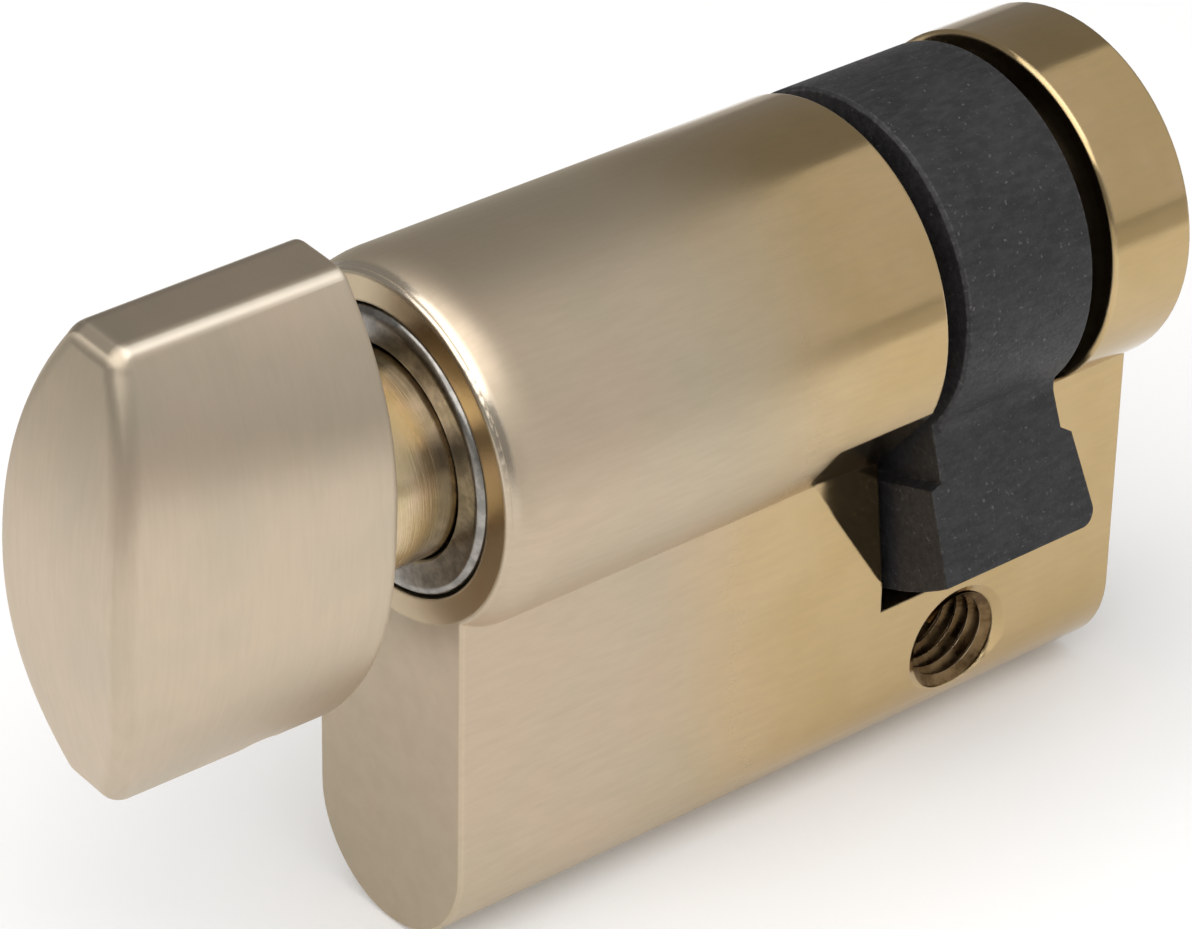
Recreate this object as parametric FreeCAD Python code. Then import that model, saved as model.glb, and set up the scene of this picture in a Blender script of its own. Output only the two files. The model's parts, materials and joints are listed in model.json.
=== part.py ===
import FreeCAD
import Part
import math
import os

# Euro profile half cylinder with a thumbturn, in millimetres.
# Y runs along the barrel: the thumbturn is at -Y and the short closed end at +Y.
# Z is up, with the barrel above its web. The origin is the middle of the M5 fixing hole.

# --- driving dimensions -------------------------------------------------------------
BARREL_R = 8.5          # euro profile barrel, 17 mm across
WEB_W = 10.0            # euro profile web thickness
AXIS_Z = 19.0           # barrel axis above the fixing hole
WEB_DROP = 24.3         # barrel axis down to the underside of the web
FRONT_Y = -29.3         # thumbturn-side face of the housing
REAR_Y = 9.80           # closed-end face of the housing
SLOT_HALF = 5.0         # half the width of the cam slot
SLOT_DROP = 15.3        # barrel axis down to the floor of the cam slot
RIM_R = 7.8             # edge of the flat on the barrel's front face
RIM_CORNER = 0.25       # small corner radius round that flat
RIM_LENGTH = 2.2        # how far back the barrel narrows towards that corner
EDGE_BREAK = 0.15       # ordinary broken edge

RELIEF_TOP_Z = -3.4     # upper edge of the relief beside the slot, on the barrel's flank
RELIEF_END_Y = -10.6    # far end of that upper edge
RELIEF_WEB_Y = -9.5     # far end of the relief on the web's face
RELIEF_FOOT_Z = -13.8   # where the relief runs out at the slot's edge
RELIEF_DEPTH = 0.72     # how deep the relief cuts into the web at the slot

FIX_R = 2.5             # M5 fixing thread, nominal radius
FIX_MOUTH_R = 3.0       # countersunk mouth of the fixing thread
FIX_SINK_DEG = 60.0     # half angle of that countersink

SPINDLE_R = 5.0         # spindle journal in the housing
NECK_R = 4.75           # its slimmer neck, seen behind the thumbturn
RUN = 0.05              # radial running clearance of the spindle in the housing
CAM_RUN = 0.08          # radial running clearance of the cam on its two journals
COUNTERBORE_R = 6.65    # front recess that takes the steel ring and the spindle's flange
RING_RUN = 0.1          # radial running clearance of the neck in the steel ring
RING_GAP = 0.12         # fine groove between the ring's rounded nose and the housing
RING_ROUND = 0.5        # rounding of that nose
RING_NOSE_Y = FRONT_Y - 0.2
FLANGE_R = 6.2          # thrust flange of the spindle
FLANGE_FRONT_Y = FRONT_Y + 2.3
FLANGE_REAR_Y = FRONT_Y + 3.3

CAM_R = 8.4             # hub of the cam
CAM_HALF = 3.8          # half the length of the cam's hub
LUG_R = 15.15           # tip radius of the cam's lug
LUG_HALF_W = 4.6        # half the width of the lug
LUG_FRONT_Y = -4.4      # the lug's tip is longer than the hub at the front
LUG_REAR_Y = 4.8        # and at the back
LUG_NECK_Y = 3.4        # back of the neck between the hub and the tip
LUG_STEP_R = 9.6        # where the neck steps out to the tip
LUG_CORNER = 0.8        # rounding of the tip's rear corner
LUG_CREASE_R = 1.5      # fillet between the hub and the lug's sides
LUG_TILT = 17.0         # the lug leans towards +X at rest, in degrees

CLIP_T = 0.7            # circlip thickness
CLIP_R = 6.1            # circlip outer radius
GROOVE_R = 4.3          # circlip groove floor
CLIP_Y = 4.10           # near face of each circlip, from the middle of the slot

BALL_R = 1.5            # detent ball
DETENT_Y = -17.0        # detent position along the barrel
DIMPLE_TRAVEL = 0.35    # how far the ball rises into a dimple

KNOB_REAR_Y = -33.1     # flat back of the thumbturn
KNOB_EDGE_Y = -44.5     # front edge of the thumbturn at its top and bottom
KNOB_DOME = 1.75        # how far the front swells at mid-height
KNOB_HALF_H = 11.2      # half the height of the thumbturn
KNOB_TOP_HALF_W = 1.5   # half its thickness at the top and bottom
KNOB_FRONT_HALF_W = 4.5  # half its thickness at mid-height, front
KNOB_REAR_HALF_W = 5.75  # half its thickness at mid-height, back
KNOB_SIDE_POWER = 2.5   # how blunt its swelling sides are: 2 is a parabola
KNOB_DOME_POWER = 1.8   # how blunt its swelling front is
KNOB_CORNER_R = 1.1     # rounding of its front corners, seen from the side
KNOB_EDGE_R = 1.0       # rounding of its long edges and round its front
KNOB_BACK_R = 0.35      # rounding round its back face
KNOB_TILT = 3.4         # the thumbturn stands a little over towards +X at rest, in degrees
TENON_R = 3.5           # spindle tenon inside the thumbturn
TENON_END_Y = -40.1
TENON_FLAT = 3.1        # the flat under the tenon, from the barrel axis
GRUB_R = 2.0            # M4 grub screw that holds the thumbturn
GRUB_HEAD = 8.6         # its outer end, from the barrel axis
GRUB_Y = -37.1
HEX_FLATS = 2.0         # its hexagon socket, across flats
HEX_DEPTH = 2.0

ORING_Y = -21.5         # friction ring on the spindle
ORING_WIRE_R = 0.55
DOG_W = 2.4             # driver between the spindle and the cam
DOG_HALF_H = 4.2
DOG_FRONT_Y = -3.0
DOG_REAR_Y = 0.7
PLUG_TOP = -19.5        # detent plug, measured from the barrel axis
PLUG_BOTTOM = 0.3 - WEB_DROP
SPRING_WIRE_R = 0.18    # detent spring
SPRING_COIL_R = 1.1
SPRING_COILS = 10

UP = FreeCAD.Vector(0, 0, 1)
ALONG = FreeCAD.Vector(0, 1, 0)
ACROSS = FreeCAD.Vector(1, 0, 0)
AXIS = FreeCAD.Vector(0, 0, AXIS_Z)


def vec(x, y, z):
    """A point given with z measured from the barrel axis."""
    return FreeCAD.Vector(x, y, AXIS_Z + z)


def rod(radius, y0, y1):
    """A cylinder on the barrel axis from y0 to y1."""
    return Part.makeCylinder(radius, y1 - y0, vec(0, y0, 0), ALONG)


def tube(outer, inner, y0, y1):
    """A plain sleeve on the barrel axis."""
    return rod(outer, y0, y1).cut(rod(inner, y0 - 1, y1 + 1))


def post(radius, z0, z1, y):
    """An upright cylinder below the barrel axis, from z0 to z1 measured from the axis."""
    return Part.makeCylinder(radius, z1 - z0, vec(0, y, z0), UP)


def block(x0, x1, y0, y1, z0, z1):
    """A box with z measured from the barrel axis."""
    return Part.makeBox(x1 - x0, y1 - y0, z1 - z0, vec(x0, y0, z0))


def turned(points, arcs=()):
    """A solid of revolution about the barrel axis from (radius, y) corners.

    arcs lists the indices of the corners that are the middle of a three-point arc.
    """
    at = [vec(r, y, 0) for r, y in points]
    edges = []
    i = 0
    while i < len(at):
        if (i + 1) % len(at) in arcs:
            through = at[(i + 1) % len(at)]
            end = at[(i + 2) % len(at)]
            edges.append(Part.Arc(at[i], through, end).toShape())
            i += 2
        else:
            edges.append(Part.makeLine(at[i], at[(i + 1) % len(at)]))
            i += 1
    face = Part.Face(Part.Wire(edges))
    return face.revolve(AXIS, ALONG, 360)


def tilted(shape, degrees=-LUG_TILT):
    """The shape turned about the barrel axis, to the cam's rest angle unless told otherwise."""
    shape.rotate(AXIS, ALONG, degrees)
    return shape


def beyond(a, b, c, side):
    """A large block on one side of the plane through three points."""
    size = 60
    normal = (b - a).cross(c - a)
    normal.normalize()
    if normal.dot(side) < 0:
        normal = -normal
    slab = Part.makeBox(size, size, size, FreeCAD.Vector(-size / 2, -size / 2, 0))
    slab.Placement = FreeCAD.Placement(a, FreeCAD.Rotation(UP, normal))
    return slab


def run_out_arc(start_r, start_y, end_r, end_y):
    """The middle and end of an arc from a (radius, y) corner that runs out along the barrel."""
    length = end_y - start_y
    drop = end_r - start_r
    bend_r = (length ** 2 + drop ** 2) / (2 * drop)
    half_sweep = math.asin(length / bend_r) / 2
    middle = (end_r - bend_r * (1 - math.cos(half_sweep)), end_y - bend_r * math.sin(half_sweep))
    return [middle, (end_r, end_y)]


# --- housing ------------------------------------------------------------------------

def barrel():
    """The two lengths of barrel either side of the cam slot."""
    corner_end = (RIM_R + RIM_CORNER, FRONT_Y + RIM_CORNER)
    bend = RIM_CORNER * (1 - math.sqrt(0.5))
    corner_middle = (corner_end[0] - bend, FRONT_Y + bend)
    long_part = turned(
        [(0, FRONT_Y), (RIM_R, FRONT_Y), corner_middle, corner_end]
        + run_out_arc(*corner_end, BARREL_R, FRONT_Y + RIM_LENGTH)
        + [(BARREL_R, -SLOT_HALF - EDGE_BREAK), (BARREL_R - EDGE_BREAK, -SLOT_HALF),
           (0, -SLOT_HALF)], arcs=(2, 4))
    short_part = turned(
        [(0, SLOT_HALF), (BARREL_R - EDGE_BREAK, SLOT_HALF), (BARREL_R, SLOT_HALF + EDGE_BREAK),
         (BARREL_R, REAR_Y - EDGE_BREAK), (BARREL_R - EDGE_BREAK, REAR_Y), (0, REAR_Y)])
    return long_part, short_part


def web():
    """The web under the barrel, with its full-round underside."""
    half = WEB_W / 2
    centre_z = half - WEB_DROP
    corners = [vec(-half, FRONT_Y, 0), vec(-half, FRONT_Y, centre_z),
               vec(half, FRONT_Y, centre_z), vec(half, FRONT_Y, 0)]
    edges = [Part.makeLine(corners[0], corners[1]),
             Part.Arc(corners[1], vec(0, FRONT_Y, -WEB_DROP), corners[2]).toShape(),
             Part.makeLine(corners[2], corners[3]),
             Part.makeLine(corners[3], corners[0])]
    prism = Part.Face(Part.Wire(edges)).extrude(ALONG * (REAR_Y - FRONT_Y))
    ends = [e for e in prism.Edges
            if e.BoundBox.YLength < 0.01 and e.BoundBox.ZMin < AXIS_Z - 1]
    return prism.makeChamfer(EDGE_BREAK, ends)


def cam_relief(side):
    """The milled relief beside the slot: a ramp in the web's face and a flat on the barrel.

    It deepens towards the slot and runs out towards the front. side is +1 or -1 along X.
    """
    half = WEB_W / 2

    def at(x, y, z):
        return vec(side * x, y, z)

    outward = ACROSS * side
    web_end = at(half, RELIEF_WEB_Y, -math.sqrt(BARREL_R ** 2 - half ** 2))
    foot = at(half, -SLOT_HALF, RELIEF_FOOT_Z)
    heel = at(half - RELIEF_DEPTH, -SLOT_HALF, RELIEF_TOP_Z - half + RELIEF_DEPTH)
    flank_x = math.sqrt(BARREL_R ** 2 - RELIEF_TOP_Z ** 2)
    flank_end = at(flank_x, RELIEF_END_Y, RELIEF_TOP_Z)
    ramp = beyond(web_end, foot, heel, outward)
    flat = beyond(flank_end, flank_end + ALONG, heel, outward - UP)
    run_out = beyond(web_end, flank_end, at(flank_x - 1, RELIEF_END_Y - 0.6, RELIEF_TOP_Z - 1.7),
                     outward - UP + ALONG)
    near_slot = block(-BARREL_R - 1, BARREL_R + 1, FRONT_Y / 2, 1 - SLOT_HALF,
                      -WEB_DROP, BARREL_R)
    return near_slot.common(ramp).common(flat).common(run_out)


def fixing_hole():
    """The through hole for the M5 fixing screw, with a countersunk mouth on each face."""
    half = WEB_W / 2
    slope = math.tan(math.radians(FIX_SINK_DEG))
    sink = (FIX_MOUTH_R - FIX_R) / slope
    hole = Part.makeCylinder(FIX_R, WEB_W + 2, FreeCAD.Vector(-half - 1, 0, 0), ACROSS)
    for side in (-1, 1):
        apex_face = FreeCAD.Vector(side * (half - sink), 0, 0)
        hole = hole.fuse(Part.makeCone(FIX_R, FIX_MOUTH_R + slope, sink + 1, apex_face,
                                       ACROSS * side))
    return hole


def detent_chamber():
    """The hole drilled up the web for the detent, right through into the spindle's bore."""
    return post(BALL_R + RUN, -WEB_DROP - 1, -SPINDLE_R + 1, DETENT_Y)


def housing():
    long_part, short_part = barrel()
    body = web().fuse([long_part, short_part])
    slot = block(-BARREL_R - 1, BARREL_R + 1, -SLOT_HALF, SLOT_HALF, -SLOT_DROP, BARREL_R + 1)
    body = body.cut(slot)
    body = body.cut(rod(SPINDLE_R + RUN, FRONT_Y - 1, -SLOT_HALF + 1))
    body = body.cut(rod(COUNTERBORE_R, FRONT_Y - 1, FLANGE_REAR_Y + RUN))
    body = body.cut(rod(SPINDLE_R, SLOT_HALF - 1, REAR_Y + 1))
    body = body.cut(rod(FLANGE_R, REAR_Y - 1.2, REAR_Y + 1))
    body = body.cut(detent_chamber())
    for side in (-1, 1):
        body = body.cut(cam_relief(side))
    body = body.cut(fixing_hole())
    return body.removeSplitter()


def front_ring():
    """The steel ring pressed into the housing's face round the spindle's neck."""
    inner = NECK_R + RING_RUN
    lip = COUNTERBORE_R - RING_GAP
    bend = RING_ROUND * (1 - math.sqrt(0.5))
    seat_y = FRONT_Y + RING_ROUND + 0.6
    return turned([(inner, FLANGE_FRONT_Y - 0.1), (COUNTERBORE_R, FLANGE_FRONT_Y - 0.1),
                   (COUNTERBORE_R, seat_y), (lip, seat_y), (lip, RING_NOSE_Y + RING_ROUND),
                   (lip - bend, RING_NOSE_Y + bend), (lip - RING_ROUND, RING_NOSE_Y),
                   (inner + EDGE_BREAK, RING_NOSE_Y), (inner, RING_NOSE_Y + EDGE_BREAK)],
                  arcs=(5,))


# --- spindle and thumbturn ----------------------------------------------------------

def spindle():
    """The turned shaft: tenon, neck, thrust flange, journal, clip groove and driving slot."""
    shaft = rod(TENON_R, TENON_END_Y, KNOB_REAR_Y + 1)
    shaft = shaft.fuse(rod(NECK_R, KNOB_REAR_Y, FLANGE_FRONT_Y + 0.1))
    shaft = shaft.fuse(rod(FLANGE_R, FLANGE_FRONT_Y, FLANGE_REAR_Y))
    shaft = shaft.fuse(rod(SPINDLE_R, FLANGE_REAR_Y - 0.1, -1.0))
    shaft = shaft.cut(tube(SPINDLE_R + 1, GROOVE_R, -CLIP_Y - CLIP_T, -CLIP_Y))
    oring_half = ORING_WIRE_R + 0.15
    shaft = shaft.cut(tube(SPINDLE_R + 1, SPINDLE_R - 2 * ORING_WIRE_R,
                           ORING_Y - oring_half, ORING_Y + oring_half))
    slot = block(-DOG_W / 2, DOG_W / 2, DOG_FRONT_Y, 0, -SPINDLE_R - 1, SPINDLE_R + 1)
    shaft = shaft.cut(tilted(slot))
    flat = block(-TENON_R, TENON_R, GRUB_Y - GRUB_R - 0.3, GRUB_Y + GRUB_R + 0.3,
                 -TENON_R - 1, -TENON_FLAT)
    shaft = shaft.cut(tilted(flat, KNOB_TILT))
    reach = ball_rest_radius() - DIMPLE_TRAVEL
    for quarter in range(4):
        angle = math.radians(90 * quarter)
        centre = vec(reach * math.sin(angle), DETENT_Y, -reach * math.cos(angle))
        shaft = shaft.cut(Part.makeSphere(BALL_R + 0.1, centre))
    return shaft


def friction_ring():
    """The rubber ring that gives the thumbturn its drag."""
    return Part.makeTorus(SPINDLE_R - ORING_WIRE_R, ORING_WIRE_R, vec(0, ORING_Y, 0), ALONG)


def circlip(y0):
    """An open spring clip, lying from y0 to y0 + CLIP_T."""
    ring = tube(CLIP_R, GROOVE_R, y0, y0 + CLIP_T)
    gap = block(-1.3, 1.3, y0 - 1, y0 + CLIP_T + 1, 0, CLIP_R + 1)
    return ring.cut(gap)


def coupling_dog():
    """The flat driver that joins the spindle to the cam."""
    bar = block(-DOG_W / 2, DOG_W / 2, DOG_FRONT_Y, DOG_REAR_Y, -DOG_HALF_H, DOG_HALF_H)
    return bar.makeChamfer(EDGE_BREAK, bar.Edges)


def swelling(power, count=12):
    """Pairs of (height, swell) from -1 to 1 up the thumbturn; swell is 1 at mid-height."""
    heights = [2 * k / count - 1 for k in range(count + 1)]
    return [(h, 1 - abs(h) ** power) for h in heights]


def smooth_edge(points):
    """A smooth curve through the points."""
    curve = Part.BSplineCurve()
    curve.interpolate(points)
    return curve.toShape()


def knob_outline(y, half_w):
    """The lens-shaped section of the thumbturn at one y."""
    side = [(KNOB_TOP_HALF_W + (half_w - KNOB_TOP_HALF_W) * swell, h * KNOB_HALF_H)
            for h, swell in swelling(KNOB_SIDE_POWER)]
    right = [vec(x, y, z) for x, z in side]
    left = [vec(-x, y, z) for x, z in reversed(side)]
    return Part.Wire([smooth_edge(right), Part.makeLine(right[-1], left[0]),
                      smooth_edge(left), Part.makeLine(left[-1], right[0])])


def knob_profile():
    """The thumbturn seen from the side, as a block: flat back, swelling front."""
    nose = [vec(-BARREL_R, KNOB_EDGE_Y - KNOB_DOME * swell, h * KNOB_HALF_H)
            for h, swell in swelling(KNOB_DOME_POWER)]
    top = vec(-BARREL_R, KNOB_REAR_Y, KNOB_HALF_H)
    bottom = vec(-BARREL_R, KNOB_REAR_Y, -KNOB_HALF_H)
    wire = Part.Wire([smooth_edge(nose), Part.makeLine(nose[-1], top),
                      Part.makeLine(top, bottom), Part.makeLine(bottom, nose[0])])
    profile = Part.Face(wire).extrude(ACROSS * 2 * BARREL_R)
    corners = [e for e in profile.Edges
               if e.BoundBox.XLength > BARREL_R and e.BoundBox.YMax < KNOB_REAR_Y - 1]
    return profile.makeFillet(KNOB_CORNER_R, corners)


def knob():
    """The thumbturn: a lens section that thickens towards the back, with a swelling front."""
    nose_y = KNOB_EDGE_Y - KNOB_DOME - 1
    taper = (KNOB_REAR_HALF_W - KNOB_FRONT_HALF_W) / (KNOB_REAR_Y - KNOB_EDGE_Y)
    nose_half = KNOB_REAR_HALF_W - taper * (KNOB_REAR_Y - nose_y)
    body = Part.makeLoft([knob_outline(KNOB_REAR_Y, KNOB_REAR_HALF_W),
                          knob_outline(nose_y, nose_half)], True, True)
    body = body.common(knob_profile())
    creases = [e for e in body.Edges if e.BoundBox.YMin < KNOB_REAR_Y - 0.01]
    body = body.makeFillet(KNOB_EDGE_R, creases)
    back = [e for e in body.Edges if e.BoundBox.YMin > KNOB_REAR_Y - 0.01]
    body = body.makeFillet(KNOB_BACK_R, back)
    body = body.cut(rod(TENON_R, TENON_END_Y - 0.2, KNOB_REAR_Y + 1))
    body = body.cut(post(GRUB_R, -KNOB_HALF_H - 1, -TENON_R + 0.5, GRUB_Y))
    return tilted(body, KNOB_TILT)


def grub_screw():
    """The M4 socket screw that clamps the thumbturn on the spindle's flat."""
    screw = post(GRUB_R, -GRUB_HEAD, -TENON_FLAT, GRUB_Y)
    across_corners = HEX_FLATS / math.cos(math.radians(30)) / 2
    corners = [vec(across_corners * math.cos(math.radians(60 * k)),
                   GRUB_Y + across_corners * math.sin(math.radians(60 * k)), -GRUB_HEAD)
               for k in range(6)]
    socket = Part.Face(Part.makePolygon(corners + [corners[0]])).extrude(UP * HEX_DEPTH)
    return tilted(screw.cut(socket), KNOB_TILT)


# --- detent -------------------------------------------------------------------------

def ball_rest_radius():
    """The ball's centre, from the barrel axis, when it rides on the spindle's land."""
    return SPINDLE_R + 0.03 + BALL_R


def detent_ball():
    return Part.makeSphere(BALL_R, vec(0, DETENT_Y, -ball_rest_radius()))


def detent_plug():
    return post(BALL_R + RUN, PLUG_BOTTOM, PLUG_TOP, DETENT_Y)


def detent_spring():
    """A round-wire compression spring between the plug and the ball."""
    bottom = PLUG_TOP + SPRING_WIRE_R
    seat = math.sqrt((BALL_R + SPRING_WIRE_R) ** 2 - SPRING_COIL_R ** 2)
    top = -ball_rest_radius() - seat - 0.02
    height = top - bottom
    helix = Part.makeHelix(height / SPRING_COILS, height, SPRING_COIL_R)
    helix.translate(vec(0, DETENT_Y, bottom))
    start = vec(SPRING_COIL_R, DETENT_Y, bottom)
    circle = Part.Wire(Part.makeCircle(SPRING_WIRE_R, start, ALONG))
    return Part.Wire(helix).makePipeShell([circle], True, True)


# --- cam and closed end -------------------------------------------------------------

def cam_lug():
    """The locking lug, pointing straight down before the cam is turned to its rest angle.

    Its neck is as wide as the hub; its tip steps out at the front and the back.
    """
    root = -SPINDLE_R - 0.8
    reach = -LUG_R - 1
    side = [(-CAM_HALF, root), (-CAM_HALF, -LUG_STEP_R), (LUG_FRONT_Y, -LUG_STEP_R - 0.2),
            (LUG_FRONT_Y, reach), (LUG_REAR_Y, reach), (LUG_REAR_Y, -LUG_R + 1.5),
            (LUG_REAR_Y - 0.6, -LUG_STEP_R - 0.2), (LUG_NECK_Y + 0.2, -LUG_STEP_R + 0.2),
            (LUG_NECK_Y, root)]
    points = [vec(-LUG_HALF_W, y, z) for y, z in side]
    wire = Part.makePolygon(points + [points[0]])
    lug = Part.Face(wire).extrude(ACROSS * 2 * LUG_HALF_W)
    lug = lug.common(rod(LUG_R, LUG_FRONT_Y - 1, LUG_REAR_Y + 1))
    rear_tip = [e for e in lug.Edges
                if e.BoundBox.ZMax < AXIS_Z - LUG_R + 1.5 and e.BoundBox.YMin > LUG_REAR_Y - 0.01
                and e.BoundBox.XLength > LUG_HALF_W]
    return lug.makeFillet(LUG_CORNER, rear_tip)


def cam():
    hub = turned([(0, -CAM_HALF), (CAM_R - EDGE_BREAK, -CAM_HALF),
                  (CAM_R, -CAM_HALF + EDGE_BREAK), (CAM_R, CAM_HALF - EDGE_BREAK),
                  (CAM_R - EDGE_BREAK, CAM_HALF), (0, CAM_HALF)])
    body = hub.fuse(cam_lug()).removeSplitter()
    creases = [e for e in body.Edges
               if e.BoundBox.YLength > 5 and e.BoundBox.XLength < 0.01
               and abs(abs(e.BoundBox.XMin) - LUG_HALF_W) < 0.01
               and e.BoundBox.ZMin > AXIS_Z - CAM_R]
    body = body.makeFillet(LUG_CREASE_R, creases)
    journal = SPINDLE_R + CAM_RUN
    body = body.cut(rod(journal, -CAM_HALF - 1, -0.9))
    body = body.cut(rod(journal, 0.9, CAM_HALF + 1))
    keyway = DOG_W / 2 + RUN
    body = body.cut(block(-keyway, keyway, -1, 1, -DOG_HALF_H - 0.1, DOG_HALF_H + 0.1))
    return body


def end_stub():
    """The plug in the short end that carries the back of the cam."""
    stub = rod(SPINDLE_R, 1.0, REAR_Y - 1.2)
    stub = stub.fuse(rod(FLANGE_R, REAR_Y - 1.2, REAR_Y))
    return stub.cut(tube(SPINDLE_R + 1, GROOVE_R, CLIP_Y, CLIP_Y + CLIP_T))


def main():
    os.makedirs("parts", exist_ok=True)
    parts = {
        "housing": housing(),
        "front_ring": front_ring(),
        "knob": knob(),
        "grub_screw": grub_screw(),
        "spindle": spindle(),
        "friction_ring": friction_ring(),
        "spindle_clip": circlip(-CLIP_Y - CLIP_T),
        "coupling_dog": tilted(coupling_dog()),
        "cam": tilted(cam()),
        "end_stub": end_stub(),
        "stub_clip": circlip(CLIP_Y),
        "detent_ball": detent_ball(),
        "detent_spring": detent_spring(),
        "detent_plug": detent_plug(),
    }
    for name, shape in parts.items():
        print(name, shape.ShapeType, len(shape.Solids), shape.isValid(), round(shape.Volume, 2))
        shape.exportStep("parts/" + name + ".step")


main()
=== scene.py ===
import json
import math

import bmesh
import bpy
from mathutils import Matrix, Vector


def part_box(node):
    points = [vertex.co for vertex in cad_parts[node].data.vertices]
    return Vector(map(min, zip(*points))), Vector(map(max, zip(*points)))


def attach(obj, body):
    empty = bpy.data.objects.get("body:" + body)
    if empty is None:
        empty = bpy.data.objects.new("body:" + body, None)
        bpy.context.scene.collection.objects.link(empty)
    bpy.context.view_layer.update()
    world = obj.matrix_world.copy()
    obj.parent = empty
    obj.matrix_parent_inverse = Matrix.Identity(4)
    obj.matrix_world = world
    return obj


# The looks of a half euro cylinder with a thumbturn. +Y runs along the barrel, away from
# the knob, +Z is up, and the origin is the middle of the fixing hole. Lengths are in metres.

MM = 0.001

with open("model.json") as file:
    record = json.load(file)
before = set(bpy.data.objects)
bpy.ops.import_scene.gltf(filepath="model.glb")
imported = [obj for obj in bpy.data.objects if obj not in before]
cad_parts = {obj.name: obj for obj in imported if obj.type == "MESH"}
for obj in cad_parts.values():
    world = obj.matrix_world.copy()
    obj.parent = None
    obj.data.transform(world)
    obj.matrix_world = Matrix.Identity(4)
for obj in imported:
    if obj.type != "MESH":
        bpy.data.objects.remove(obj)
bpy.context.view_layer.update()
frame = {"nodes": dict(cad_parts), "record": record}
nodes = frame["nodes"]

# --- places worked out from the frame -----------------------------------------------
turn_joint = next(j for j in frame["record"]["behaviour"]["joints"] if j["name"] == "thumbturn_turn")
fixing_hole = next(m for m in frame["record"]["mounts"] if m["name"] == "fixing_hole")
AXIS_Z = turn_joint["pos_m"][2]
HOUSING_LOW, HOUSING_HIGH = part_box("housing")
FRONT_Y = HOUSING_LOW.y
BARREL_RADIUS = (HOUSING_HIGH.x - HOUSING_LOW.x) / 2
RIM_DROP = 0.7 * MM  # how far the barrel's rim is drawn in at the front face
RIM_RADIUS = BARREL_RADIUS - RIM_DROP


# --- node material helpers ----------------------------------------------------------

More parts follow.
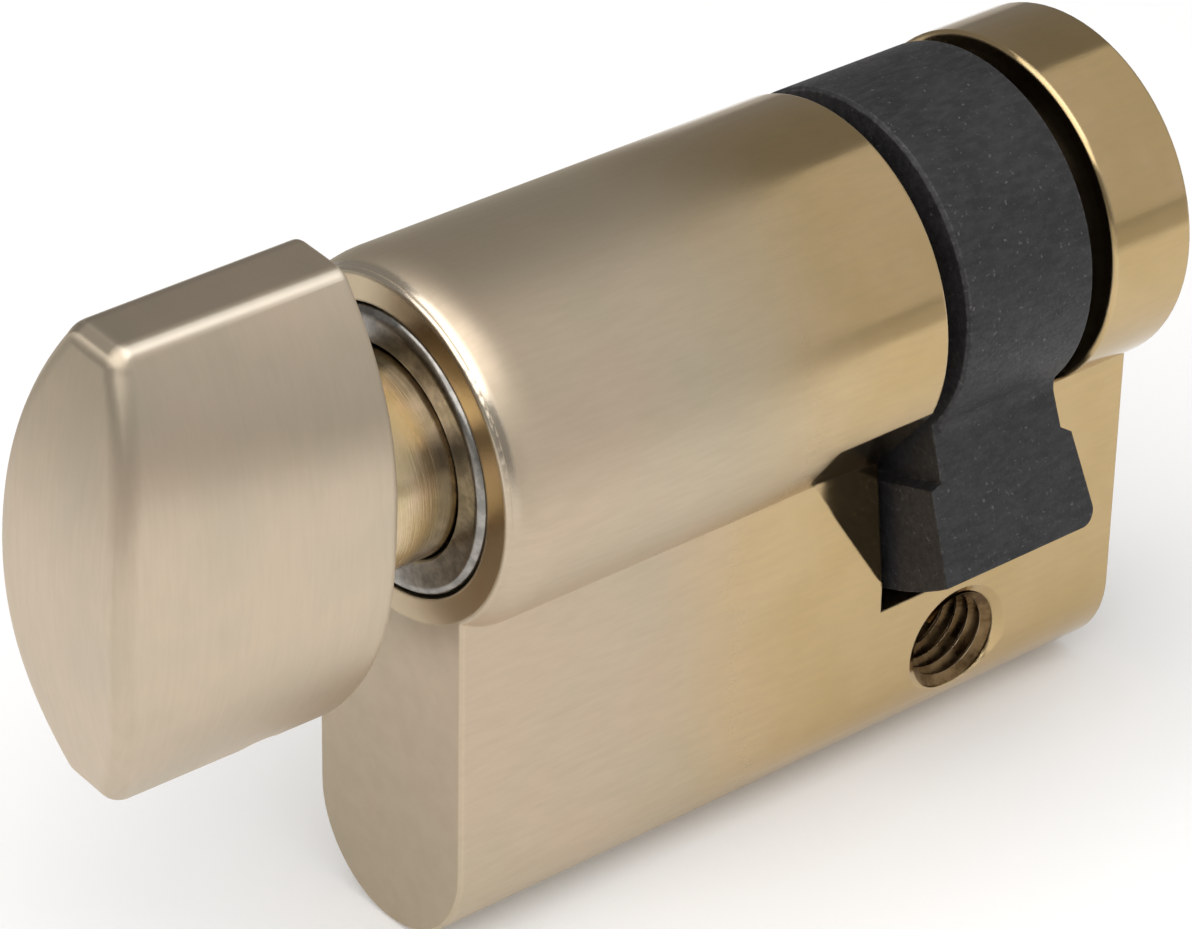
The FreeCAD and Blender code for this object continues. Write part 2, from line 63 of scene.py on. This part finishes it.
class Shader:
    """A short way to write a procedural material."""

    def __init__(self, name):
        self.material = bpy.data.materials.new(name)
        self.material.use_nodes = True
        self.tree = self.material.node_tree
        self.bsdf = self.tree.nodes["Principled BSDF"]

    def add(self, kind, **settings):
        """A new shader node with its settings."""
        node = self.tree.nodes.new("ShaderNode" + kind)
        for key, value in settings.items():
            setattr(node, key, value)
        return node

    def link(self, source, target):
        """Feeds a node's output into a socket."""
        self.tree.links.new(source, target)

    def put(self, socket, value):
        """Sets a socket from a number, a colour or another node's output."""
        if isinstance(value, bpy.types.NodeSocket):
            self.link(value, socket)
        elif hasattr(value, "__len__") and len(value) == 3 and len(socket.default_value) == 4:
            socket.default_value = (*value, 1.0)
        else:
            socket.default_value = value

    def set(self, **values):
        """Sets named inputs of the surface; an underscore stands for a space."""
        for key, value in values.items():
            self.put(self.bsdf.inputs[key.replace("_", " ")], value)

    def place(self):
        """The point being shaded, in metres in the object's own frame."""
        return self.add("TexCoord").outputs["Object"]

    def normal(self):
        """The surface's normal in the object's own frame."""
        return self.add("TexCoord").outputs["Normal"]

    def split(self, vector):
        """The X, Y and Z of a vector."""
        node = self.add("SeparateXYZ")
        self.put(node.inputs[0], vector)
        return node.outputs

    def stretched(self, place, scale, turn_deg=(0, 0, 0)):
        """A place scaled unevenly, which draws noise out into streaks."""
        mapping = self.add("Mapping")
        self.put(mapping.inputs["Vector"], place)
        mapping.inputs["Scale"].default_value = scale
        mapping.inputs["Rotation"].default_value = [math.radians(a) for a in turn_deg]
        return mapping.outputs["Vector"]

    def noise(self, place, scale, detail=3.0, roughness=0.6):
        """Noise from 0 to 1, about scale lumps to the metre."""
        node = self.add("TexNoise")
        self.put(node.inputs["Vector"], place)
        node.inputs["Scale"].default_value = scale
        node.inputs["Detail"].default_value = detail
        node.inputs["Roughness"].default_value = roughness
        return node.outputs["Fac"]

    def math(self, operation, a, b=0.0):
        """The result of arithmetic on one or two numbers."""
        node = self.add("Math", operation=operation)
        self.put(node.inputs[0], a)
        self.put(node.inputs[1], b)
        return node.outputs[0]

    def ramp(self, value, low, high, to_low=0.0, to_high=1.0, smooth=True):
        """Maps value from low..high to to_low..to_high, held at both ends."""
        node = self.add("MapRange")
        node.clamp = True
        node.interpolation_type = "SMOOTHSTEP" if smooth else "LINEAR"
        self.put(node.inputs["Value"], value)
        node.inputs["From Min"].default_value = low
        node.inputs["From Max"].default_value = high
        node.inputs["To Min"].default_value = to_low
        node.inputs["To Max"].default_value = to_high
        return node.outputs["Result"]

    def both(self, a, b):
        """A mask that is 1 only where two masks are."""
        return self.math("MULTIPLY", a, b)

    def band(self, value, rise, fall):
        """A mask for a middle range of value, between a ramp up and a ramp down."""
        return self.both(self.ramp(value, *rise), self.ramp(value, *fall))

    def around(self, middle, value, swing):
        """A number that wavers by swing as value goes from 0 to 1."""
        wave = self.math("MULTIPLY", self.math("SUBTRACT", value, 0.5), 2 * swing)
        return self.math("ADD", middle, wave)

    def mix(self, factor, a, b):
        """A colour part way from a to b."""
        node = self.add("Mix", data_type="RGBA")
        self.put(node.inputs["Factor"], factor)
        colours = [s for s in node.inputs if s.type == "RGBA"]
        self.put(colours[0], a)
        self.put(colours[1], b)
        return next(s for s in node.outputs if s.type == "RGBA")

    def mix_value(self, factor, a, b):
        """A number part way from a to b."""
        node = self.add("Mix", data_type="FLOAT")
        self.put(node.inputs[0], factor)
        self.put(node.inputs[2], a)
        self.put(node.inputs[3], b)
        return node.outputs[0]

    def tint(self, base, colour, mask, amount):
        """Base with a colour mixed in where the mask is, as far as amount."""
        return self.mix(self.math("MULTIPLY", mask, amount), base, colour)

    def bump(self, height, strength, distance, under=None):
        """A normal with fine relief on it, on top of another normal if one is given."""
        node = self.add("Bump")
        self.put(node.inputs["Height"], height)
        node.inputs["Strength"].default_value = strength
        node.inputs["Distance"].default_value = distance
        if under is not None:
            self.link(under, node.inputs["Normal"])
        return node.outputs["Normal"]

    def rounded(self, radius):
        """A normal softened at the edges, and a mask of where those edges are."""
        bevel = self.add("Bevel", samples=4)
        bevel.inputs["Radius"].default_value = radius
        dot = self.add("VectorMath", operation="DOT_PRODUCT")
        self.link(bevel.outputs["Normal"], dot.inputs[0])
        self.link(self.add("NewGeometry").outputs["Normal"], dot.inputs[1])
        return bevel.outputs["Normal"], self.ramp(dot.outputs["Value"], 0.99, 0.90)

    def facing(self, axis):
        """How squarely the surface faces along an axis, from 0 to 1."""
        return self.math("ABSOLUTE", self.split(self.normal())[axis])

    def from_axis(self, place):
        """The distance from the barrel's axis, in metres."""
        x, _, z = self.split(place)
        radius = self.add("VectorMath", operation="LENGTH")
        flat = self.add("CombineXYZ")
        self.put(flat.inputs["X"], x)
        self.put(flat.inputs["Z"], self.math("SUBTRACT", z, AXIS_Z))
        self.link(flat.outputs[0], radius.inputs[0])
        return radius.outputs["Value"]

    def round_barrel(self, front):
        """The direction round the barrel, and plain X where front says the surface faces Y."""
        cross = self.add("VectorMath", operation="CROSS_PRODUCT")
        cross.inputs[0].default_value = (0, 1, 0)
        self.link(self.normal(), cross.inputs[1])
        across = self.add("CombineXYZ")
        self.put(across.inputs["X"], front)
        total = self.add("VectorMath", operation="ADD")
        self.link(cross.outputs["Vector"], total.inputs[0])
        self.link(across.outputs[0], total.inputs[1])
        return total.outputs["Vector"]

    def brushed_across(self, direction, amount):
        """Stretches highlights along a direction given in the object's own frame."""
        turned = self.add("VectorTransform", vector_type="VECTOR",
                          convert_from="OBJECT", convert_to="WORLD")
        self.put(turned.inputs[0], direction)
        self.link(turned.outputs[0], self.bsdf.inputs["Tangent"])
        self.bsdf.inputs["Anisotropic"].default_value = amount


# --- materials ----------------------------------------------------------------------

SATIN_WARM = (0.590, 0.475, 0.355)
SATIN_COOL = (0.550, 0.470, 0.345)
POLISHED = (0.550, 0.400, 0.210)
POLISHED_DEEP = (0.510, 0.370, 0.180)
# pale colour for painted highlights
PAINTED_HIGHLIGHT = (0.93, 0.84, 0.70)


def housing_finish(s, along, blotch, cloud):
    """The housing's colour and roughness, from satin at the front to polished by the cam."""
    yellow_from = FRONT_Y + 8.3 * MM
    yellow_to = FRONT_Y + 21.3 * MM
    polish_from = FRONT_Y + 10.3 * MM
    polish_to = FRONT_Y + 22.3 * MM
    wander = 7 * MM  # how unevenly both set in along the housing
    drift = s.math("ADD", along, s.math("MULTIPLY", s.math("SUBTRACT", blotch, 0.5), wander))
    yellowing = s.ramp(drift, yellow_from, yellow_to)
    polish = s.ramp(drift, polish_from, polish_to)
    satin = s.mix(s.ramp(blotch, 0.35, 0.65), SATIN_COOL, SATIN_WARM)
    bright = s.mix(s.ramp(cloud, 0.3, 0.7), POLISHED_DEEP, POLISHED)
    satin_rough = 0.43
    polished_rough = 0.11
    rough = s.ramp(polish, 0.0, 1.0, satin_rough, polished_rough, smooth=False)
    return s.mix(yellowing, satin, bright), rough


def rim_highlight_mask(s, along, height):
    """A mask of the upper part of the barrel's front rim, where a painted highlight is laid."""
    corner = s.band(s.facing("Y"), rise=(0.22, 0.40), fall=(0.97, 0.88))
    by_front = s.ramp(along, FRONT_Y + 0.7 * MM, FRONT_Y + 0.4 * MM)
    upper = s.ramp(height, AXIS_Z - 1 * MM, AXIS_Z + 4 * MM)
    return s.both(s.both(corner, by_front), upper)


def satin_brass():
    """Brushed champagne brass that turns glossier and yellower towards the cam."""
    s = Shader("satin_brass")
    groove = (0.33, 0.26, 0.18)
    edge_highlight = (0.75, 0.62, 0.40)
    # deep brown for painted shade on the front faces
    shaded_front = (0.24, 0.19, 0.13)
    place = s.place()
    _, along, height = s.split(place)
    soft_normal, edge = s.rounded(0.18 * MM)
    front = s.ramp(s.facing("Y"), 0.90, 0.98)
    streaks = s.noise(s.stretched(place, (7, 1, 7), (0, 0, 6)), scale=480, detail=5)
    scratches = s.noise(s.stretched(place, (2, 9, 2), (40, 0, 0)), scale=420, detail=4)
    grain = s.mix_value(front, streaks, scratches)
    cloud = s.noise(place, scale=210, detail=3)
    blotch = s.noise(place, scale=95, detail=2)
    turned_face = s.both(front, s.ramp(s.from_axis(place), RIM_RADIUS + 0.1 * MM, RIM_RADIUS - 0.1 * MM))
    rim = rim_highlight_mask(s, along, height)
    base, rough = housing_finish(s, along, blotch, cloud)
    base = s.mix(s.ramp(grain, 0.25, 0.75, to_high=0.13), base, groove)
    # painted highlight: the edges are tinted pale
    base = s.tint(base, edge_highlight, edge, 0.35)
    # painted shade: the faces looking along the barrel are darkened
    base = s.tint(base, shaded_front, front, 0.30)
    base = s.tint(base, POLISHED, turned_face, 0.30)
    # painted highlight: a pale crescent on the upper part of the front rim
    base = s.tint(base, PAINTED_HIGHLIGHT, rim, 0.35)
    turned_rough = 0.22
    rim_rough = 0.16
    rough = s.mix_value(turned_face, rough, turned_rough)
    rough = s.mix_value(rim, rough, rim_rough)
    rough = s.around(rough, grain, 0.05)
    s.set(Base_Color=base, Metallic=1.0, Roughness=rough)
    s.brushed_across(s.round_barrel(front), 0.5)
    fine = s.bump(grain, strength=0.12, distance=0.02 * MM, under=soft_normal)
    s.set(Normal=s.bump(cloud, strength=0.10, distance=0.03 * MM, under=fine))
    return s.material


def knob_brass():
    """Satin brass brushed round the thumbturn's section, and up its front."""
    s = Shader("knob_brass")
    cool = (0.545, 0.465, 0.355)
    warm = (0.590, 0.485, 0.370)
    groove = (0.33, 0.27, 0.19)
    edge_highlight = (0.80, 0.68, 0.50)
    place = s.place()
    soft_normal, edge = s.rounded(0.2 * MM)
    tipped = s.facing("Y")
    front = s.ramp(tipped, 0.6, 0.9)
    side_lines = s.noise(s.stretched(place, (1.2, 11, 1)), scale=420, detail=5)
    front_lines = s.noise(s.stretched(place, (11, 1, 1)), scale=420, detail=5)
    grain = s.mix_value(front, side_lines, front_lines)
    cloud = s.noise(place, scale=170, detail=3)
    _, _, upward = s.split(s.normal())
    # painted highlight: a pale band where the surface turns upwards along the top edges, away from the
    # front
    painted_highlight_mask = s.both(s.band(upward, rise=(0.58, 0.80), fall=(0.975, 0.91)), s.ramp(tipped, 0.45, 0.10))
    shoulder = s.band(tipped, rise=(0.12, 0.35), fall=(0.99, 0.88))
    base = s.mix(s.ramp(cloud, 0.35, 0.65), cool, warm)
    base = s.mix(s.ramp(grain, 0.25, 0.75, to_high=0.08), base, groove)
    # painted highlight: the edges are tinted pale
    base = s.tint(base, edge_highlight, edge, 0.30)
    # painted highlight along the top edges
    base = s.tint(base, PAINTED_HIGHLIGHT, painted_highlight_mask, 0.8)
    flat_rough = 0.40
    shoulder_rough = 0.50
    rough = s.around(s.mix_value(shoulder, flat_rough, shoulder_rough), grain, 0.05)
    s.set(Base_Color=base, Metallic=1.0, Roughness=rough)
    across = s.add("CombineXYZ")
    s.put(across.inputs["X"], front)
    s.put(across.inputs["Y"], s.math("SUBTRACT", 1.0, front))
    s.brushed_across(across.outputs[0], 0.7)
    s.set(Normal=s.bump(grain, strength=0.08, distance=0.02 * MM, under=soft_normal))
    return s.material


def bright_brass():
    """Turned brass with tool lines round the axis and a patchy tarnish."""
    s = Shader("bright_brass")
    tarnish = (0.57, 0.46, 0.27)
    clean = (0.63, 0.49, 0.33)
    edge_highlight = (0.85, 0.70, 0.42)
    place = s.place()
    soft_normal, edge = s.rounded(0.1 * MM)
    lines = s.noise(s.stretched(place, (0.2, 9, 0.2)), scale=1500, detail=4)
    cloud = s.noise(place, scale=520, detail=4)
    base = s.mix(s.ramp(cloud, 0.35, 0.65), tarnish, clean)
    # painted highlight: the edges are tinted pale
    base = s.tint(base, edge_highlight, edge, 0.4)
    rough = s.ramp(lines, 0.2, 0.8, to_low=0.14, to_high=0.30)
    s.set(Base_Color=base, Metallic=1.0, Roughness=rough)
    fine = s.bump(lines, strength=0.25, distance=0.03 * MM, under=soft_normal)
    s.set(Normal=s.bump(cloud, strength=0.25, distance=0.06 * MM, under=fine))
    return s.material


def thread_brass():
    """Brass down in the fixing thread, painted dark as the shade inside the hole, with painted glints on
    the crests.
    """
    s = Shader("thread_brass")
    hole_shade_deep = (0.11, 0.065, 0.028)
    hole_shade = (0.24, 0.16, 0.08)
    edge_highlight = (0.80, 0.64, 0.44)
    place = s.place()
    soft_normal, edge = s.rounded(0.06 * MM)
    cloud = s.noise(place, scale=900, detail=4)
    # painted shade: dark browns for the inside of the hole
    base = s.mix(s.ramp(cloud, 0.35, 0.65), hole_shade_deep, hole_shade)
    # painted highlight: glints on the thread's crests
    base = s.tint(base, edge_highlight, edge, 0.9)
    rough = s.ramp(cloud, 0.3, 0.7, to_low=0.22, to_high=0.40)
    s.set(Base_Color=base, Metallic=1.0, Roughness=rough)
    s.set(Normal=s.bump(cloud, strength=0.2, distance=0.03 * MM, under=soft_normal))
    return s.material


def turned_steel(name, colour, roughness):
    """Grey steel with faint turning lines and a light mottle."""
    s = Shader(name)
    darker = [c * 0.60 for c in colour]
    edge_highlight = [min(1, c * 1.5) for c in colour]
    place = s.place()
    soft_normal, edge = s.rounded(0.08 * MM)
    lines = s.noise(s.stretched(place, (0.3, 6, 0.3)), scale=1200, detail=4)
    mottle = s.noise(place, scale=1300, detail=4, roughness=0.7)
    base = s.mix(s.ramp(mottle, 0.35, 0.65), darker, colour)
    # painted highlight: the edges are tinted pale
    base = s.tint(base, edge_highlight, edge, 0.4)
    rough = s.ramp(lines, 0.2, 0.8, to_low=roughness * 0.8, to_high=roughness * 1.3)
    s.set(Base_Color=base, Metallic=1.0, Roughness=rough)
    fine = s.bump(lines, strength=0.15, distance=0.02 * MM, under=soft_normal)
    s.set(Normal=s.bump(mottle, strength=0.2, distance=0.03 * MM, under=fine))
    return s.material


def black_sinter():
    """Matte black sintered steel with a fine fibrous speckle and a painted highlight along its edges."""
    s = Shader("black_sinter")
    deep = (0.0100, 0.0095, 0.0104)
    soft_black = (0.0185, 0.0178, 0.0192)
    fibre = (0.042, 0.040, 0.043)
    bright_speck = (0.11, 0.105, 0.105)
    cam_edge_highlight = (0.12, 0.115, 0.11)
    place = s.place()
    soft_normal, edge = s.rounded(0.15 * MM)
    grain = s.noise(place, scale=5200, detail=4, roughness=0.7)
    fibres = s.noise(s.stretched(place, (1, 0.35, 1), (0, 25, 30)), scale=3000, detail=5)
    cloud = s.noise(place, scale=320, detail=4)
    speck = s.ramp(s.noise(place, scale=4200, detail=3), 0.62, 0.76)
    # painted highlight: the edges, broken up by the fibres
    painted_highlight_mask = s.both(edge, s.ramp(fibres, 0.40, 0.60))
    base = s.mix(s.ramp(cloud, 0.3, 0.7), deep, soft_black)
    base = s.mix(s.ramp(fibres, 0.35, 0.70, to_high=0.45), base, fibre)
    base = s.mix(speck, base, bright_speck)
    base = s.tint(base, cam_edge_highlight, painted_highlight_mask, 0.5)
    rough = s.ramp(grain, 0.3, 0.7, to_low=0.46, to_high=0.66)
    s.set(Base_Color=base, Metallic=0.0, Specular_IOR_Level=0.42, Roughness=rough)
    fine = s.bump(grain, strength=0.30, distance=0.04 * MM, under=soft_normal)
    s.set(Normal=s.bump(fibres, strength=0.30, distance=0.04 * MM, under=fine))
    return s.material


def black_rubber():
    """Greased black rubber."""
    s = Shader("black_rubber")
    deep = (0.012, 0.012, 0.012)
    greased = (0.03, 0.03, 0.03)
    grain = s.noise(s.place(), scale=3000, detail=2)
    rough = s.ramp(grain, 0.3, 0.7, to_low=0.35, to_high=0.5)
    s.set(Base_Color=s.mix(grain, deep, greased), Roughness=rough)
    s.set(Normal=s.bump(grain, strength=0.1, distance=0.02 * MM))
    return s.material


def floor_paint():
    """The pale floor: faintly glowing white paper round the object, on a greyer table."""
    s = Shader("floor_paint")
    paper_dim = (0.90, 0.90, 0.90)
    paper_light = (0.92, 0.92, 0.92)
    table = (0.60, 0.59, 0.57)
    paper_ends = 0.105
    table_begins = 0.125
    place = s.place()
    paper = s.mix(s.noise(place, scale=60, detail=2), paper_dim, paper_light)
    from_middle = s.add("VectorMath", operation="DISTANCE")
    s.put(from_middle.inputs[0], place)
    from_middle.inputs[1].default_value = (0, 0, HOUSING_LOW.z)
    beyond = s.ramp(from_middle.outputs["Value"], paper_ends, table_begins)
    glow = s.mix(beyond, (1.0, 1.0, 1.0), (0.0, 0.0, 0.0))
    s.set(Base_Color=s.mix(beyond, paper, table), Roughness=0.9)
    s.set(Emission_Color=glow, Emission_Strength=0.10)
    return s.material


def assign(node, material):
    """Gives a CAD node its material."""
    for slot in nodes[node].material_slots:
        slot.material = material


def finish_nodes():
    """Gives every CAD node the material of what it is made of."""
    steel = turned_steel("ring_steel", (0.36, 0.34, 0.31), roughness=0.22)
    dark_steel = turned_steel("spring_steel", (0.20, 0.20, 0.21), roughness=0.35)
    brass = bright_brass()
    assign("housing", satin_brass())
    assign("knob", knob_brass())
    assign("cam", black_sinter())
    assign("friction_ring", black_rubber())
    for node in ("spindle", "end_stub", "detent_plug"):
        assign(node, brass)
    for node in ("front_ring", "detent_ball", "detent_spring"):
        assign(node, steel)
    for node in ("grub_screw", "spindle_clip", "stub_clip", "coupling_dog"):
        assign(node, dark_steel)


# --- the fixing thread --------------------------------------------------------------

PITCH = 0.8 * MM
CREST_RADIUS = 2.07 * MM
ROOT_SINK = 0.02 * MM  # how far the ridge's root is set into the hole's wall
ROOT_RADIUS = fixing_hole["dims"]["r_mm"] * MM + ROOT_SINK
HALF_BASE = 0.46 * PITCH
HALF_TIP = 0.07 * PITCH
RIDGE_REACH = 4.55 * MM  # from the middle of the hole to each end of the ridge
RIDGE_FADE = 0.22 * MM  # the stretch in which each end dies away
STEPS_PER_TURN = 48


def thread_section(angle, x):
    """The ridge's four corners at an angle round the hole; it dies away towards both ends."""
    height = min(1.0, (RIDGE_REACH - abs(x)) / RIDGE_FADE)
    tip = ROOT_RADIUS - (ROOT_RADIUS - CREST_RADIUS) * height
    outward = Vector((0, math.cos(angle), math.sin(angle)))
    across = Vector((1, 0, 0))
    return [
        outward * ROOT_RADIUS + across * (x - HALF_BASE),
        outward * tip + across * (x - HALF_TIP),
        outward * tip + across * (x + HALF_TIP),
        outward * ROOT_RADIUS + across * (x + HALF_BASE),
    ]


def build_thread():
    """The M5 thread ridge inside the fixing hole, as one helical strip."""
    turns = 2 * RIDGE_REACH / PITCH
    mesh = bmesh.new()
    previous = None
    for k in range(int(turns * STEPS_PER_TURN) + 1):
        angle = 2 * math.pi * k / STEPS_PER_TURN
        x = -RIDGE_REACH + PITCH * k / STEPS_PER_TURN
        ring = [mesh.verts.new(corner) for corner in thread_section(angle, x)]
        if previous:
            for a in range(len(ring) - 1):
                mesh.faces.new((previous[a], previous[a + 1], ring[a + 1], ring[a]))
        previous = ring
    bmesh.ops.recalc_face_normals(mesh, faces=mesh.faces)
    data = bpy.data.meshes.new("fixing_thread")
    mesh.to_mesh(data)
    mesh.free()
    thread = bpy.data.objects.new("fixing_thread", data)
    bpy.context.scene.collection.objects.link(thread)
    data.materials.append(thread_brass())
    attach(thread, "housing")


# --- stage, light and camera --------------------------------------------------------

def build_floor():
    """A broad pale floor just under the web."""
    half_width = 3.0
    gap = 0.02 * MM
    z = HOUSING_LOW.z - gap
    mesh = bpy.data.meshes.new("floor")
    corners = [(x * half_width, y * half_width, z) for x, y in ((-1, -1), (1, -1), (1, 1), (-1, 1))]
    mesh.from_pydata(corners, [], [(0, 1, 2, 3)])
    floor = bpy.data.objects.new("floor", mesh)
    bpy.context.scene.collection.objects.link(floor)
    mesh.materials.append(floor_paint())


def direction(azimuth, elevation):
    """The unit vector towards a place seen at that azimuth, from -Y towards +X, and elevation."""
    az, el = math.radians(azimuth), math.radians(elevation)
    return Vector((math.sin(az) * math.cos(el), -math.cos(az) * math.cos(el), math.sin(el)))


def softbox(name, aim, azimuth, elevation, distance, width, height, power):
    """A rectangular light that faces aim from a distance; power is in watts."""
    light = bpy.data.lights.new(name, "AREA")
    light.shape = "RECTANGLE"
    light.size = width
    light.size_y = height
    light.energy = power
    lamp = bpy.data.objects.new(name, light)
    bpy.context.scene.collection.objects.link(lamp)
    lamp.location = aim + direction(azimuth, elevation) * distance
    lamp.rotation_euler = (lamp.location - aim).to_track_quat("Z", "Y").to_euler()


def build_light():
    """A grey room, a broad soft key overhead and a paler wall behind on the right."""
    world = bpy.data.worlds.new("studio")
    bpy.context.scene.world = world
    world.use_nodes = True
    background = world.node_tree.nodes["Background"]
    background.inputs["Color"].default_value = (1, 0.98, 0.96, 1)
    background.inputs["Strength"].default_value = 0.28
    aim = Vector((0, -0.013, AXIS_Z))
    softbox("key", aim, azimuth=20, elevation=60, distance=0.6, width=0.85, height=0.85, power=4.9)
    softbox("wall", aim, azimuth=135, elevation=30, distance=1.0, width=2.0, height=1.60, power=4.6)


def build_camera():
    """The photograph's viewpoint: from the front right and above."""
    aim = Vector((0, -13.25, 13.97)) * MM
    distance = 238.84 * MM
    roll = math.radians(1.70)
    back = direction(azimuth=48.79, elevation=31.07)
    right = Vector((0, 0, 1)).cross(back).normalized()
    up = back.cross(right)
    tilted_right = right * math.cos(roll) + up * math.sin(roll)
    tilted_up = up * math.cos(roll) - right * math.sin(roll)
    camera = bpy.data.cameras.new("camera")
    camera.sensor_width = 36.0
    camera.lens = 163.4
    camera.shift_x = -0.0676
    camera.shift_y = -0.0277
    camera.clip_start = 0.01
    eye = bpy.data.objects.new("camera", camera)
    turn_to = Matrix((tilted_right, tilted_up, back)).transposed().to_4x4()
    eye.matrix_world = Matrix.Translation(aim + back * distance) @ turn_to
    bpy.context.scene.collection.objects.link(eye)
    bpy.context.scene.camera = eye


finish_nodes()
build_thread()
build_floor()
build_light()
build_camera()
bpy.context.scene.view_settings.view_transform = "Standard"
